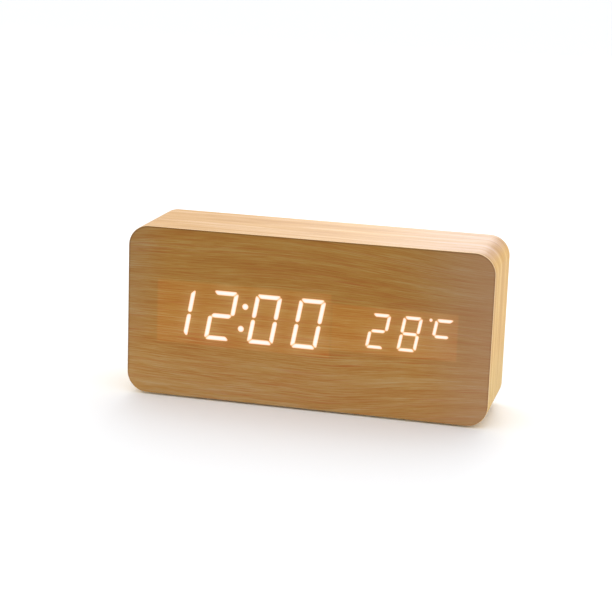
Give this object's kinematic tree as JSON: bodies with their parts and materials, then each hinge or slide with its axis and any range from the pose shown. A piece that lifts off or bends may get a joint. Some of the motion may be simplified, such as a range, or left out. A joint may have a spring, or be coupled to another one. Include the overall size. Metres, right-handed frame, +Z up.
{
  "type": "alarm clock",
  "caption": "Wood-veneered block alarm clock with slanted LED time and temperature digits glowing through the front, and rear buttons and battery bay.",
  "frame": {"origin": "centre of the footprint, on the surface that the feet stand on", "axes": "+X to the right as seen from the front, -Y out of the display, +Y out of the back, +Z up"},
  "size_m": [0.15, 0.04, 0.0708],
  "materials": {
    "front_wood": "satin",
    "edge_wood": "satin",
    "back_wood": "satin",
    "fibreboard": "matte",
    "foot_rubber": "matte",
    "display_plastic": "matte",
    "lit_lens": "glowing white",
    "dark_lens": "milky",
    "led_die": "gloss",
    "display_laminate": "satin",
    "board_laminate": "satin",
    "tinned_metal": "satin",
    "steel_screw": "satin",
    "cover_screw_steel": "satin",
    "chip_plastic": "matte",
    "can_metal": "satin",
    "buzzer_plastic": "matte",
    "bead_epoxy": "gloss",
    "holder_plastic": "matte",
    "coin_steel": "satin",
    "capacitor_sleeve": "gloss",
    "connector_plastic": "satin",
    "red_insulation": "satin",
    "black_insulation": "satin",
    "grey_insulation": "satin",
    "switch_plastic": "satin",
    "plunger_plastic": "satin",
    "button_plastic": "satin",
    "socket_plastic": "satin",
    "socket_pin_metal": "polished",
    "cover_plastic": "fine texture",
    "door_plastic": "fine texture",
    "cell_sleeve": "gloss"
  },
  "bodies": {
    "clock": {"case_core": "fibreboard", "front_veneer": "front_wood", "edge_veneer": "edge_wood", "back_veneer": "back_wood", "foot_front_left": "foot_rubber", "foot_front_right": "foot_rubber", "foot_rear_left": "foot_rubber", "foot_rear_right": "foot_rubber", "time_display_housing": "display_plastic", "temp_display_housing": "display_plastic", "time_display_board": "display_laminate", "temp_display_board": "display_laminate", "time_segments_lit": "lit_lens", "temp_segments_lit": "lit_lens", "segments_dark": "dark_lens", "time_colon": "lit_lens", "degree_dot": "lit_lens", "led_dies": "led_die", "display_pins": "tinned_metal", "main_board": "board_laminate", "main_board_screws": "steel_screw", "controller_chip": "chip_plastic", "driver_chip": "chip_plastic", "crystal": "can_metal", "buzzer": "buzzer_plastic", "microphone": "can_metal", "thermistor": "bead_epoxy", "cell_holder": "holder_plastic", "backup_cell": "coin_steel", "capacitors": "capacitor_sleeve", "chip_resistors": "chip_plastic", "battery_connector": "connector_plastic", "io_connector": "connector_plastic", "red_wire": "red_insulation", "black_wire": "black_insulation", "io_cable": "grey_insulation", "io_board": "board_laminate", "io_board_screws": "steel_screw", "set_switch": "switch_plastic", "up_switch": "switch_plastic", "down_switch": "switch_plastic", "dc_socket": "socket_plastic", "dc_socket_pin": "socket_pin_metal", "back_cover": "cover_plastic", "cover_screws": "cover_screw_steel", "terminal_contacts": "tinned_metal", "bridge_contacts": "tinned_metal", "contact_springs": "tinned_metal", "battery_cell_1": "cell_sleeve", "battery_cell_2": "cell_sleeve", "battery_cell_3": "cell_sleeve", "battery_cell_4": "cell_sleeve"},
    "set_key": {"set_button": "button_plastic", "set_plunger": "plunger_plastic"},
    "up_key": {"up_button": "button_plastic", "up_plunger": "plunger_plastic"},
    "down_key": {"down_button": "button_plastic", "down_plunger": "plunger_plastic"},
    "battery_door": {"battery_door": "door_plastic"}
  },
  "joints": [
    {"name": "set_button_press", "type": "slide", "parent": "clock", "child": "set_key", "axis": [0, -1, 0], "range_m": [0, 0.00035], "stiffness_N_per_m": 4000},
    {"name": "up_button_press", "type": "slide", "parent": "clock", "child": "up_key", "axis": [0, -1, 0], "range_m": [0, 0.00035], "stiffness_N_per_m": 4000},
    {"name": "down_button_press", "type": "slide", "parent": "clock", "child": "down_key", "axis": [0, -1, 0], "range_m": [0, 0.00035], "stiffness_N_per_m": 4000},
    {"name": "battery_door_swing", "type": "hinge", "parent": "clock", "child": "battery_door", "pos_m": [0.026, 0.01805, 0.01175], "axis": [-1, 0, 0], "range_deg": [0, 95]}
  ]
}
